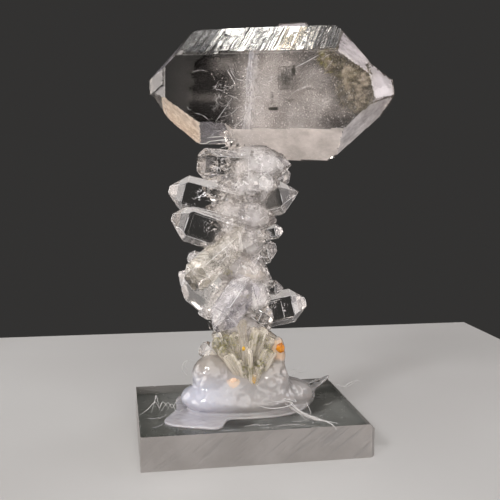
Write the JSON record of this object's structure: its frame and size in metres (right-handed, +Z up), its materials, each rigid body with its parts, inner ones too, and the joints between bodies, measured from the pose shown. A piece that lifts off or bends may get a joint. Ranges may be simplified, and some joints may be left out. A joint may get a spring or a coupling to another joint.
{
  "type": "quartz crystal cluster on a clear block",
  "caption": "Upright natural quartz cluster, a large doubly ended crystal on a stem of smaller ones, held by translucent glue on a small clear block.",
  "frame": {"origin": "middle of the block's underside", "axes": "+Z up along the cluster, -Y towards the front of the block, X along its long side"},
  "size_m": [0.0427, 0.0274, 0.0758],
  "materials": {
    "acrylic": "clear cast acrylic, polished above and below, saw-cut and frosted at the sides",
    "glue": "glossy translucent white hot-melt glue",
    "quartz": "clear to milky quartz with natural crystal faces"
  },
  "bodies": {
    "root": {"base_block": "acrylic", "glue_mound": "glue", "quartz_cluster": "quartz"}
  },
  "joints": []
}
